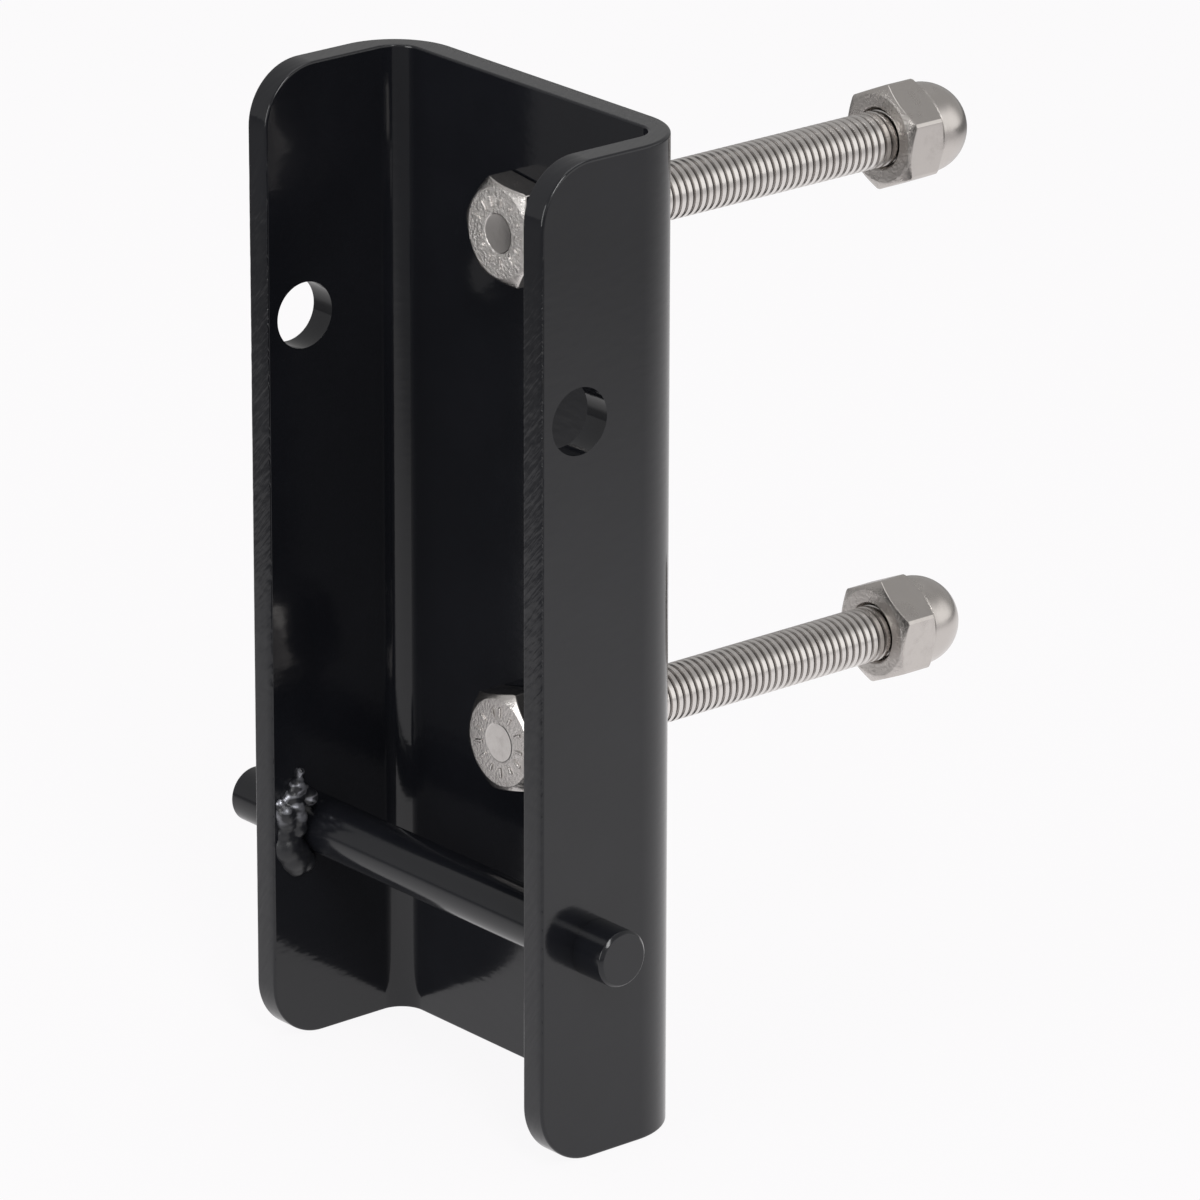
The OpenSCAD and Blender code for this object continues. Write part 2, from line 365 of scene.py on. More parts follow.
@dataclass(frozen=True)
class StainlessSteel:
    """Cold formed austenitic stainless steel: pale warm grey metal with a soft sheen.

    The grain and the forging scale are drawn coarser than on a real bolt, where they are too fine to show.
    """

    name: str
    colour: str = "#dcd8d5"
    stain: str = "#b9b3af"
    # colour of the painted shade in the roots of the thread
    root_shade: str = "#1c1a19"
    roughness: float = 0.2
    grain_size: float = 0.5
    grain_depth: float = 0.003
    wave_size: float = 3.0
    wave_depth: float = 0.012
    forged_size: float = 0.6
    forged_depth: float = 0.5
    forged_matt: float = 0.1
    cloud_size: float = 5.0
    shine: tuple[float, float] = (-0.03, 0.08)

    def material(self) -> bpy.types.Material:
        """Builds the node tree of the metal.

        Returns:
            The material.
        """
        made = bpy.data.materials.new(self.name)
        tree = fresh_tree(made)
        place = add_node(tree, "ShaderNodeTexCoord").outputs["Object"]
        grain = add_node(tree, "ShaderNodeTexNoise", {"Scale": 1 / (self.grain_size * MM), "Detail": 3.0},
                         {"Vector": place})
        wave = add_node(tree, "ShaderNodeTexNoise", {"Scale": 1 / (self.wave_size * MM), "Detail": 1.0},
                        {"Vector": place})
        broad = add_node(tree, "ShaderNodeBump", {"Strength": 1.0, "Distance": self.wave_depth * MM},
                         {"Height": wave.outputs["Fac"]})
        fine = add_node(tree, "ShaderNodeBump", {"Strength": 1.0, "Distance": self.grain_depth * MM},
                        {"Height": grain.outputs["Fac"], "Normal": broad.outputs["Normal"]})
        # the die left the face of the head rough
        forged = add_node(tree, "ShaderNodeAttribute", attribute_name="forged")
        pits = add_node(tree, "ShaderNodeTexNoise", {"Scale": 1 / (self.forged_size * MM), "Detail": 4.0,
                                                     "Roughness": 0.6}, {"Vector": place})
        pitted = add_node(tree, "ShaderNodeMath", links={0: forged.outputs["Fac"], 1: pits.outputs["Fac"]},
                          operation="MULTIPLY")
        rough = add_node(tree, "ShaderNodeBump", {"Strength": 1.0, "Distance": self.forged_depth * MM},
                         {"Height": pitted.outputs["Value"], "Normal": fine.outputs["Normal"]})
        groove = add_node(tree, "ShaderNodeAttribute", attribute_name="groove")
        cloud = add_node(tree, "ShaderNodeTexNoise", {"Scale": 1 / (self.cloud_size * MM), "Detail": 5.0,
                                                      "Roughness": 0.65}, {"Vector": place})
        gloss = add_node(tree, "ShaderNodeMapRange",
                         {"From Min": 0.3, "From Max": 0.7, "To Min": self.roughness + self.shine[0],
                          "To Max": self.roughness + self.shine[1]}, {"Value": cloud.outputs["Fac"]})
        matt = add_node(tree, "ShaderNodeMath", {1: self.forged_matt}, {0: forged.outputs["Fac"],
                                                                       2: gloss.outputs["Result"]},
                        operation="MULTIPLY_ADD")
        tint = add_node(tree, "ShaderNodeMapRange", {"From Min": 0.5, "From Max": 0.8, "To Min": 0.0,
                                                     "To Max": 0.6}, {"Value": cloud.outputs["Fac"]})
        tone = add_node(tree, "ShaderNodeMix", {6: linear(self.colour), 7: linear(self.stain)},
                        {0: tint.outputs["Result"]}, data_type="RGBA")
        # painted shade: the colour darkens towards the roots of the thread, where shade falls in the grooves
        root_shaded = add_node(tree, "ShaderNodeMix", {7: linear(self.root_shade)},
                          {0: groove.outputs["Fac"], 6: tone.outputs[2]}, data_type="RGBA")
        metal = add_node(tree, "ShaderNodeBsdfPrincipled", {"Metallic": 1.0},
                         {"Base Color": root_shaded.outputs[2], "Roughness": matt.outputs["Value"],
                          "Normal": rough.outputs["Normal"]})
        add_node(tree, "ShaderNodeOutputMaterial", links={"Surface": metal.outputs["BSDF"]})
        return made


# Pieces of the bracket


@dataclass
class Channel:
    """Plate folded into an upright U, with its holes and its sheared edges."""

    width: float = WIDTH
    depth: float = 34.0
    height: float = 176.0
    plate: float = PLATE
    inner_fold_r: float = 4.5
    outer_fold_r: float = 12.4
    corner_r: float = 10.5
    outer_round: float = 0.55
    inner_round: float = 0.45
    hole_round: float = 0.4
    lock_hole_r: float = 5.85
    lock_hole: tuple[float, float] = (-26.0, 43.7)
    pin_r: float = PIN_R
    pin_hole: tuple[float, float] = (PIN_Y, PIN_Z)
    bolt_hole_r: float = 5.45
    bolt_z: tuple[float, float] = (UPPER_Z, LOWER_Z)
    shear_steps: int = 420
    shear_middle: float = 35.0
    shear_depth: float = 0.05
    shear_pitch: float = 1.3
    shear_slant: float = 1.2
    torn_width: float = 1.5
    torn_depth: float = 0.2
    fade: float = 10.0
    faint: float = 0.12
    flange_gap: float = 400.0

    def block(self, size: Vector, back: float, fold_r: float, corner_r: float) -> bmesh.types.BMesh:
        """Makes a block in front of a plane, with rounded upright edges at its back.

        Args:
            size: Width, depth and height.
            back: Place of its back face on Y.
            fold_r: Radius of the two upright edges at the back.
            corner_r: Radius of the two level edges at the front, or 0.

        Returns:
            The block.
        """
        bm = bmesh.new()
        place = Matrix.Translation((0, back - size.y / 2, 0)) @ Matrix.Diagonal((*size, 1.0))
        bmesh.ops.create_cube(bm, size=1.0, matrix=place)
        for radius, steps, y, axis in ((fold_r, 24, back, 2), (corner_r, 20, back - size.y, 0)):
            chosen = [edge for edge in bm.edges if all(abs(v.co.y - y) < 1e-3 for v in edge.verts)
                      and abs(edge.verts[0].co[axis] - edge.verts[1].co[axis]) > 1]
            if radius:
                bmesh.ops.bevel(bm, geom=chosen, offset=radius, offset_type="OFFSET", segments=steps,
                                profile=0.5, affect="EDGES", clamp_overlap=False, material=-1)
        return bm

    def drilled(self, bm: bmesh.types.BMesh) -> bmesh.types.BMesh:
        """Cuts the bay between the flanges, their two pairs of holes and the web's two bolt holes."""
        piece = as_object(bm, "plate")
        bay = Vector((self.width - 2 * self.plate, self.depth + 10, self.height + 20))
        drills = [as_object(self.block(bay, -self.plate, self.inner_fold_r, 0.0), "bay")]
        for radius, (y, z) in ((self.lock_hole_r, self.lock_hole), (self.pin_r, self.pin_hole)):
            drills.append(self.drill(radius, self.width + 10, TO_RIGHT, Vector((0, y, z))))
        for z in self.bolt_z:
            middle = Vector((0, -self.plate / 2, z))
            drills.append(self.drill(self.bolt_hole_r, 3 * self.plate, TO_LEG, middle))
        for drill in drills:
            cut = piece.modifiers.new("hole", "BOOLEAN")
            cut.operation, cut.solver, cut.object = "DIFFERENCE", "EXACT", drill
        return settled(piece, drills)

    def drill(self, radius: float, length: float, turn: Matrix, at: Vector) -> bpy.types.Object:
        """Makes one round cutter."""
        bm = bmesh.new()
        bmesh.ops.create_cone(bm, cap_ends=True, segments=96, radius1=radius, radius2=radius, depth=length)
        bmesh.ops.rotate(bm, cent=(0, 0, 0), matrix=turn, verts=bm.verts)
        bmesh.ops.translate(bm, vec=at, verts=bm.verts)
        return as_object(bm, "drill")

    def at_hole(self, edge: bmesh.types.BMEdge) -> bool:
        """Tells whether an edge lies on the rim of a hole."""
        for vert in edge.verts:
            spot = vert.co
            near = [math.hypot(spot.y - y, spot.z - z) - r for r, (y, z) in
                    ((self.lock_hole_r, self.lock_hole), (self.pin_r, self.pin_hole))]
            near += [math.hypot(spot.x, spot.z - z) - self.bolt_hole_r for z in self.bolt_z]
            if min(abs(gap) for gap in near) > 0.02:
                return False
        return True

    def shear(self, bm: bmesh.types.BMesh) -> None:
        """Roughens the straight free edges as the shear left them: slanted lines, torn on the right."""
        front = self.inner_round - self.depth + 0.01
        reach = self.height / 2 - self.corner_r - 1
        rights = (self.width / 2, self.plate - self.width / 2)
        for right in rights:
            for inset in (0.5 * self.torn_width, self.torn_width):
                strip = [face for face in bm.faces if face.calc_center_median().y < 0.001 - self.depth
                         and 0 < right - face.calc_center_median().x < self.plate]
                parts = {item for face in strip for item in (face, *face.edges, *face.verts)}
                bmesh.ops.bisect_plane(bm, geom=list(parts), plane_co=(right - inset, 0, 0),
                                       plane_no=(1, 0, 0))
        long = [edge for edge in bm.edges if all(v.co.y < front for v in edge.verts)
                and abs(edge.verts[0].co.z - edge.verts[1].co.z) > self.height / 2]
        bmesh.ops.subdivide_edges(bm, edges=long, cuts=self.shear_steps, use_grid_fill=True)
        for vert in bm.verts:
            spot = vert.co
            if spot.y > front - 0.02 or abs(spot.z) > reach:
                continue
            inset = rights[0 if spot.x > 0 else 1] - spot.x
            strong = 1.0 - 0.75 * min(1.0, abs(spot.z - self.shear_middle) / 50.0)
            deep = min(1.0, (front - spot.y) / self.inner_round * 1.3, (reach - abs(spot.z)) / 8)
            along = (spot.z - self.shear_slant * spot.x) / self.shear_pitch
            line = noise.noise(Vector((along, spot.x * 0.25, 7.0)))
            ragged = noise.noise(Vector((spot.z / 1.4, spot.x * 0.5, 3.0)))
            torn = max(0.0, 1.0 - inset / self.torn_width)
            spot.y += deep * (strong * self.shear_depth * (line + 0.5)
                              + torn * self.torn_depth * (1 + 0.4 * ragged))
            spot.y = max(spot.y, -self.depth)

    def rim_depth(self, spot: Vector) -> float:
        """Gives how far a place lies inside the plate's outline as it is seen from the side."""
        y, z = self.corner_r - self.depth - spot.y, abs(spot.z) - self.height / 2 + self.corner_r
        return self.corner_r - math.hypot(max(y, 0.0), max(z, 0.0))

    def sheared(self, spot: Vector) -> float:
        """Gives how plainly the shear's lines show at a place on the outline."""
        if self.rim_depth(spot) > 0.3:
            return 0.0
        inside = (self.height / 2 - self.corner_r - 1 - abs(spot.z)) / self.fade
        straight = min(1.0, max(0.0, inside)) if spot.y < self.outer_round - self.depth else 0.0
        plain = max(0.0, 1.0 - abs(spot.z - self.shear_middle) / 60.0)
        return self.faint + straight * (0.18 + 0.7 * plain)

    def run(self, spot: Vector) -> float:
        """Gives the way run along the outline, with the two flanges far apart."""
        along = abs(spot.z) - max(0.0, self.depth + spot.y - self.corner_r)
        return math.copysign(along, spot.z) + (self.flange_gap if spot.x < 0 else 0)

    def rim(self, edge: bmesh.types.BMEdge, inner: bool) -> bool:
        """Tells whether an edge lies on the plate's inner or outer outline and not at a hole."""
        middle = (edge.verts[0].co + edge.verts[1].co) / 2
        inside = abs(middle.x) < self.width / 2 - self.plate + 0.01 and middle.y < 0.01 - self.plate
        return self.rim_depth(middle) < 0.1 and inside is inner

    def build(self, coat: bpy.types.Material) -> bpy.types.Object:
        """Makes the channel.

        Args:
            coat: Paint of the channel.

        Returns:
            The piece.
        """
        size = Vector((self.width, self.depth, self.height))
        bm = self.drilled(self.block(size, 0.0, self.outer_fold_r, self.corner_r))
        tidy(bm)
        soften(bm, self.hole_round, 3, 50, self.at_hole)
        soften(bm, self.outer_round, 5, 50, lambda edge: self.rim(edge, inner=False), limited=False)
        soften(bm, self.inner_round, 5, 50, lambda edge: self.rim(edge, inner=True), limited=False)
        tidy(bm, 1e-5)
        self.shear(bm)
        piece = publish(bm, "bracket_channel", coat, ["channel"])
        weigh(piece, "cut_edge", self.sheared)
        weigh(piece, "edge_run", self.run)
        return piece


@dataclass
class CrossPin:
    """Round bar through both flanges, with bevelled ends, painted with the channel."""

    radius: float = PIN_R
    y: float = PIN_Y
    z: float = PIN_Z
    left_end: float = -54.25
    right_end: float = 46.25
    end_bevel: float = 0.55

    def build(self, coat: bpy.types.Material) -> bpy.types.Object:
        """Makes the pin.

        Args:
            coat: Paint of the pin.

        Returns:
            The piece.
        """
        bm = bmesh.new()
        face, step = self.radius - self.end_bevel, self.end_bevel
        outline = [(0.0, self.left_end), (face, self.left_end), (self.radius, self.left_end + step),
                   (self.radius, self.right_end - step), (face, self.right_end), (0.0, self.right_end)]
        rings(bm, 96, [lambda angle, at=at: at for at in outline])
        tidy(bm)
        soften(bm, 0.1, 3, 30)
        bmesh.ops.rotate(bm, cent=(0, 0, 0), matrix=TO_RIGHT, verts=bm.verts)
        bmesh.ops.translate(bm, vec=(0, self.y, self.z), verts=bm.verts)
        tidy(bm)
        return publish(bm, "hook_pin", coat, ["cross_pin"])


@dataclass
class WeldBead:
    """Lumpy fillet weld round the pin on the inner face of one flange."""

    side: Side
    seed: int
    loose: float
    reach: float
    face_x: float = WIDTH / 2 - PLATE
    pin_y: float = PIN_Y
    pin_z: float = PIN_Z
    melt: float = 0.2
    # in front of and above the pin's axis, over the flange, radius
    lumps: tuple[tuple[float, float, float, float], ...] = (
        (-5.6, 11.4, 0.3, 0.8), (-5.8, 10.2, 0.1, 0.75), (-6.5, 8.9, 0.5, 1.75), (-5.4, 7.6, 0.2, 1.7),
        (-4.2, 6.6, 0.9, 1.6), (-7.4, 7.2, 0.4, 1.8), (-9.8, 6.3, -0.2, 1.2), (-7.2, 5.2, 0.8, 1.8),
        (-9.0, 4.6, 0.4, 2.0), (-6.6, 3.4, 0.6, 1.8), (-8.6, 2.9, 0.0, 2.0), (-6.4, 1.4, 0.2, 1.9),
        (-8.4, 0.6, -0.8, 2.3), (-7.9, -2.2, -0.9, 3.2), (-6.6, -4.0, -1.1, 3.4), (-8.9, -1.6, -1.0, 2.3),
        (-4.4, -5.4, -0.8, 2.4), (-6.2, -5.7, -0.8, 2.4),
    )

    def build(self, coat: bpy.types.Material) -> bpy.types.Object:
        """Makes the bead out of overlapping lumps that run into each other.

        Each lump has a place in front of and above the pin's axis, a height over the flange and a radius.

        Args:
            coat: Paint of the bead.

        Returns:
            The piece.
        """
        rng = random.Random(self.seed)
        bm = bmesh.new()
        for ahead, above, out, size in self.lumps:
            shift = Vector([rng.uniform(-self.loose, self.loose) for _ in range(3)])
            spot = Vector((out, ahead * self.reach, above * self.reach)) + shift
            bmesh.ops.create_icosphere(bm, subdivisions=3, radius=size, matrix=Matrix.Translation(spot))
        piece = as_object(bm, "drops")
        melted = piece.modifiers.new("melted", "REMESH")
        melted.mode, melted.voxel_size = "VOXEL", self.melt
        flowed = piece.modifiers.new("flowed", "SMOOTH")
        flowed.factor, flowed.iterations = 0.5, 20
        bm = settled(piece)
        cut = bmesh.ops.bisect_plane(bm, geom=[*bm.verts, *bm.edges, *bm.faces], plane_co=(-0.05, 0, 0),
                                     plane_no=(1, 0, 0), clear_inner=True, clear_outer=False)["geom_cut"]
        rim = [item for item in cut if isinstance(item, bmesh.types.BMEdge)]
        bmesh.ops.holes_fill(bm, edges=rim, sides=0)
        if self.side is Side.RIGHT:
            bmesh.ops.scale(bm, vec=(-1, 1, 1), verts=bm.verts)
        bmesh.ops.translate(bm, vec=(self.side.value * self.face_x, self.pin_y, self.pin_z), verts=bm.verts)
        tidy(bm)
        name = self.side.name.lower()
        return publish(bm, f"weld_{name}", coat, [f"weld_bead_{name}"], weighted=False)


@dataclass
class HexForm:
    """Hexagon with 30 degree bevels, as on a bolt head or a nut, drawn round +Z."""

    across: float = 17.0
    face_r: float = 7.8
    turn: float = 0.0
    segments: int = 96

    def radius(self, angle: float) -> float:
        """Gives the hexagon's radius at an angle."""
        local = (angle - math.radians(self.turn)) % math.radians(60.0) - math.radians(30.0)
        return self.across / 2 / math.cos(local)

    def drop(self, angle: float) -> float:
        """Gives how far the bevel has fallen where it meets a flat."""
        return (self.radius(angle) - self.face_r) * math.tan(math.radians(30.0))

    def side(self, low: float, high: float, high_bevel: bool) -> list[Level]:
        """Lists the levels of the sides between two heights, the lower one always bevelled."""
        return [
            lambda angle: (self.radius(angle), low + self.drop(angle)),
            lambda angle: (self.radius(angle), high - (self.drop(angle) if high_bevel else 0.0)),
        ]


def turned_level(radius: float, height: float) -> Level:
    """Gives a round level of one radius and height."""
    return lambda angle: (radius, height)


@dataclass
class HexBolt:
    """Fully threaded stainless hexagon bolt, its head inside the channel."""

    z: float
    turn: float
    name: str
    recess: float
    scale: float
    seat: float = -PLATE
    length: float = 90.0
    thread_r: float = 4.95
    pitch: float = 1.5
    thread_depth: float = 0.7
    crest: float = 0.55
    root: float = 0.05
    head: float = 6.4
    washer_face: float = 0.4
    recess_r: float = 3.3
    tip_bevel: float = 0.9
    steps: int = 48
    strokes: int = 13
    stroke_ring: tuple[float, float] = (4.35, 6.6)
    stroke_width: float = 0.62
    stroke_bevel: float = 0.2

    def thread(self) -> bmesh.types.BMesh:
        """Winds one pitch of the thread's profile into the whole screw."""
        bm = bmesh.new()
        depth, crest, root = self.thread_depth, self.crest * self.pitch, self.root * self.pitch
        flank = (self.pitch - crest - root) / 2
        outline = [(self.thread_r, 0.0), (self.thread_r, crest), (self.thread_r - depth, crest + flank),
                   (self.thread_r - depth, crest + flank + root), (self.thread_r, self.pitch)]
        turns = math.ceil(self.length / self.pitch) + 2
        verts = [bm.verts.new((radius, 0.0, height - self.pitch)) for radius, height in outline]
        edges = [bm.edges.new(pair) for pair in zip(verts, verts[1:])]
        # a turn of the helix ends one pitch higher, so its ends aren't merged
        bmesh.ops.spin(bm, geom=[*verts, *edges], cent=(0, 0, 0), axis=(0, 0, 1),
                       dvec=(0, 0, self.pitch / self.steps), angle=math.radians(360.0), steps=self.steps,
                       use_merge=False, use_normal_flip=False, use_duplicate=False)
        bmesh.ops.spin(bm, geom=[*bm.verts, *bm.edges, *bm.faces], cent=(0, 0, 0), axis=(0, 0, 1),
                       dvec=(0, 0, self.pitch), angle=0.0, steps=turns,
                       use_merge=False, use_normal_flip=False, use_duplicate=True)
        bmesh.ops.remove_doubles(bm, verts=bm.verts, dist=1e-3)
        for height, keep_above in ((0.0, True), (self.length, False)):
            bmesh.ops.bisect_plane(bm, geom=[*bm.verts, *bm.edges, *bm.faces], dist=1e-4,
                                   plane_co=(0, 0, height), plane_no=(0, 0, 1),
                                   clear_inner=keep_above, clear_outer=not keep_above)
            bmesh.ops.remove_doubles(bm, verts=bm.verts, dist=1e-3)
            rim = [edge for edge in bm.edges if edge.is_boundary
                   and all(abs(vert.co.z - height) < 1e-2 for vert in edge.verts)]
            bmesh.ops.holes_fill(bm, edges=rim, sides=0)
        for vert in bm.verts:
            reach = math.hypot(vert.co.x, vert.co.y)
            most = self.thread_r - max(0.0, vert.co.z - self.length + self.tip_bevel)
            if reach > most:
                vert.co.x *= most / reach
                vert.co.y *= most / reach
        bmesh.ops.recalc_face_normals(bm, faces=bm.faces)
        return bm

    def head_shell(self) -> bmesh.types.BMesh:
        """Draws the head below zero, with its washer face, bevel and shallow round recess."""
        form = HexForm(turn=-self.turn)
        top, body = -self.head, -self.washer_face
        bm = bmesh.new()
        rings(bm, form.segments, [
            turned_level(0.0, top + self.recess), turned_level(self.recess_r, top + self.recess),
            turned_level(self.recess_r + 0.3, top), turned_level(form.face_r, top),
            *form.side(top, body, high_bevel=False),
            turned_level(form.face_r, body), turned_level(form.face_r, 0.0), turned_level(0.0, 0.0),
        ])
        tidy(bm)
        soften(bm, 0.14, 2, 25)
        return bm

    def ticks(self, bm: bmesh.types.BMesh) -> None:
        """Adds plain raised strokes in a ring on the head's face."""
        rng = random.Random(int(self.z * 10))
        for number in range(self.strokes):
            turn = 2 * math.pi * (number + rng.uniform(-0.2, 0.2)) / self.strokes
            inner = self.stroke_ring[0] + rng.uniform(0, 0.3)
            outer = self.stroke_ring[1] - rng.uniform(0, 0.7)
            place = (Matrix.Rotation(turn, 4, "Z")
                     @ Matrix.Translation(((inner + outer) / 2, 0, -self.head - 0.02))
                     @ Matrix.Diagonal((outer - inner, self.stroke_width, 0.5, 1.0)))
            made = bmesh.ops.create_cube(bm, size=1.0, matrix=place)["verts"]
            edges = list({edge for vert in made for edge in vert.link_edges})
            bmesh.ops.bevel(bm, geom=edges, offset=self.stroke_bevel, offset_type="OFFSET", segments=3,
                            profile=0.5, affect="EDGES", clamp_overlap=True, material=-1)

    def build(self, steel: bpy.types.Material) -> bpy.types.Object:
        """Makes the bolt.

        Args:
            steel: Metal of the bolt.

        Returns:
            The piece.
        """
        bm = self.head_shell()
        self.ticks(bm)
        screw = self.thread()
        spare = bpy.data.meshes.new("screw")
        screw.to_mesh(spare)
        screw.free()
        bm.from_mesh(spare)
        bpy.data.meshes.remove(spare)
        bmesh.ops.rotate(bm, cent=(0, 0, 0), matrix=TO_LEG, verts=bm.verts)
        bmesh.ops.translate(bm, vec=(0, self.seat, self.z), verts=bm.verts)
        bmesh.ops.recalc_face_normals(bm, faces=bm.faces)
        piece = publish(bm, f"{self.name}_screw", steel, [self.name], sharp=12.0)
        # depth in the thread's groove, which sets how much painted shade the steel gets there
        weigh(piece, "groove", self.groove)
        weigh(piece, "forged", self.forged)
        return piece

    def groove(self, spot: Vector) -> float:
        """Gives how deep in the thread's groove a place lies, from 0 to 1."""
        if not self.seat < spot.y < self.seat + self.length - 0.01:
            return 0.0
        sunk = self.thread_r - math.hypot(spot.x, spot.z - self.z)
        return min(1.0, max(0.0, (sunk - 0.3) / 0.35))

    def forged(self, spot: Vector) -> float:
        """Gives how rough a place is: only the ring of the head's face, outside the recess, has scale."""
        out = math.hypot(spot.x, spot.z - self.z)
        return self.scale if spot.y < self.seat - self.head + 0.1 and out > self.recess_r + 0.1 else 0.0


@dataclass
class DomeNut:
    """One piece stainless dome nut: hexagon, short neck, dome and a plain hole that the screw fills."""

    z: float
    name: str
    start: float = 73.6
    turn: float = 24.0
    hexagon: float = 8.0
    height: float = 18.0
    dome_r: float = 8.0
    dome_steps: int = 24
    hole_r: float = 4.99
    hole_depth: float = 13.0
    countersink_r: float = 5.6

    def build(self, steel: bpy.types.Material) -> bpy.types.Object:
        """Makes the nut.

        Args:
            steel: Metal of the nut.

        Returns:
            The piece.
        """
        form = HexForm(turn=-self.turn)
        centre = self.height - self.dome_r
        sink = self.countersink_r - self.hole_r
        levels = [
            turned_level(0.0, self.hole_depth), turned_level(self.hole_r, self.hole_depth),
            turned_level(self.hole_r, sink), turned_level(self.countersink_r, 0.0),
            turned_level(form.face_r, 0.0), *form.side(0.0, self.hexagon, high_bevel=True),
            turned_level(self.dome_r, self.hexagon - 0.1), turned_level(self.dome_r - 0.2, self.hexagon),
            turned_level(self.dome_r - 0.2, self.hexagon + 0.15),
            turned_level(self.dome_r, self.hexagon + 0.4), turned_level(self.dome_r, centre),
        ]
        for number in range(1, self.dome_steps + 1):
            rise = math.radians(90.0 * number / self.dome_steps)
            levels.append(turned_level(self.dome_r * math.cos(rise), centre + self.dome_r * math.sin(rise)))
        bm = bmesh.new()
        rings(bm, form.segments, levels)
        tidy(bm)
        soften(bm, 0.14, 2, 25, lambda edge: all(vert.co.z < self.hexagon - 0.3 for vert in edge.verts))
        bmesh.ops.rotate(bm, cent=(0, 0, 0), matrix=TO_LEG, verts=bm.verts)
        bmesh.ops.translate(bm, vec=(0, self.start, self.z), verts=bm.verts)
        tidy(bm)
        piece = publish(bm, f"{self.name}_cap", steel, [self.name], sharp=12.0)
        weigh(piece, "forged", lambda spot: 0.5 if spot.y < self.start + 0.1
              and math.hypot(spot.x, spot.z - self.z) > self.hole_r + 0.3 else 0.0)
        return piece


# Studio


@dataclass
class Studio:
    """Camera, pale floor, world and lamps round the bracket."""

    azimuth: float = 49.8678
    elevation: float = 19.9943
    roll: float = 0.1504
    distance: float = 1512.42
    right_offset: float = -8.486
    up_offset: float = 3.992
    focal_px: float = 8889.31
    frame_px: int = 1200
    floor_z: float = -88.0
    floor_size: float = 6000.0
    to_backdrop: tuple[float, float, float] = (0.86, 0.51, 0.0)
    paper_centre: tuple[float, float] = (0.06, 0.16)
    paper_kept_from: float = 0.38
    # distance from the paper's centre in metres, and how bright gloss sees it there
    paper_light: tuple[tuple[float, float], ...] = (
        (0.13, 1.02), (0.29, 0.8), (0.36, 0.68), (0.43, 0.56), (0.49, 0.3), (0.52, 0.2), (0.6, 0.12))

    def axes(self) -> tuple[Vector, Vector, Vector]:
        """Gives the camera's right, up and back directions."""
        az, el, roll = (math.radians(v) for v in (self.azimuth, self.elevation, self.roll))
        flat = Vector((math.cos(az), math.sin(az), 0))
        back = Vector((math.sin(az) * math.cos(el), -math.cos(az) * math.cos(el), math.sin(el)))
        up = back.cross(flat)
        right = flat * math.cos(roll) + up * math.sin(roll)
        return right, up * math.cos(roll) - flat * math.sin(roll), back

    def camera(self) -> None:
        """Places the camera as the photograph was taken."""
        right, up, back = self.axes()
        data = bpy.data.cameras.new("camera")
        data.sensor_width = 36.0
        data.lens = 36.0 * self.focal_px / self.frame_px
        data.clip_start, data.clip_end = 0.05, 50.0
        camera = bpy.data.objects.new("camera", data)
        spot = (back * self.distance - right * self.right_offset - up * self.up_offset) * MM
        turn = Matrix((right, up, back)).transposed().to_4x4()
        camera.matrix_world = Matrix.Translation(spot) @ turn
        bpy.context.scene.collection.objects.link(camera)
        bpy.context.scene.camera = camera

    def world(self) -> None:
        """Makes the near white background, the soft grey room and the pale backdrop that gloss shows."""
        world = bpy.data.worlds.new("room")
        tree = fresh_tree(world)
        ray = add_node(tree, "ShaderNodeLightPath").outputs
        way = add_node(tree, "ShaderNodeTexCoord").outputs["Generated"]
        rise = add_node(tree, "ShaderNodeSeparateXYZ", links={"Vector": way}).outputs["Z"]
        even = add_node(tree, "ShaderNodeMapRange", {"From Min": -0.1, "From Max": 0.9, "To Min": 0.62,
                                                     "To Max": 0.45}, {"Value": rise})
        # the lit backdrop stands behind the bracket and ends above it
        behind = add_node(tree, "ShaderNodeVectorMath", {1: self.to_backdrop}, {0: way},
                          operation="DOT_PRODUCT")
        turned = add_node(tree, "ShaderNodeMapRange", {"From Min": 0.5, "From Max": 0.88, "To Min": 0.0,
                                                       "To Max": 1.0}, {"Value": behind.outputs["Value"]},
                          interpolation_type="SMOOTHSTEP")
        low = add_node(tree, "ShaderNodeMapRange", {"From Min": 0.45, "From Max": 0.78, "To Min": 1.0,
                                                    "To Max": 0.0}, {"Value": rise},
                       interpolation_type="SMOOTHSTEP")
        lit = add_node(tree, "ShaderNodeMath", links={0: turned.outputs["Result"], 1: low.outputs["Result"]},
                       operation="MULTIPLY")
        gloss = add_node(tree, "ShaderNodeMath", {1: 0.75}, {0: lit.outputs["Value"]}, operation="MULTIPLY")
        mirrored = add_node(tree, "ShaderNodeMath", {1: 0.45}, {0: gloss.outputs["Value"]}, operation="ADD")
        strength = add_node(tree, "ShaderNodeMix", links={0: ray["Is Glossy Ray"], 2: even.outputs["Result"],
                                                          3: mirrored.outputs["Value"]}, data_type="FLOAT")
        room = add_node(tree, "ShaderNodeBackground", {"Color": linear("#fbfaf9")},
                        {"Strength": strength.outputs[0]})
        seen = add_node(tree, "ShaderNodeBackground", {"Color": linear("#fcfafb"), "Strength": 1.0})
        direct = add_node(tree, "ShaderNodeMath", links={0: ray["Is Camera Ray"],
                                                         1: ray["Is Transmission Ray"]}, operation="MAXIMUM")
        both = add_node(tree, "ShaderNodeMixShader", links={0: direct.outputs["Value"],
                                                            1: room.outputs["Background"],
                                                            2: seen.outputs["Background"]})
        add_node(tree, "ShaderNodeOutputWorld", links={"Surface": both.outputs["Shader"]})
        bpy.context.scene.world = world

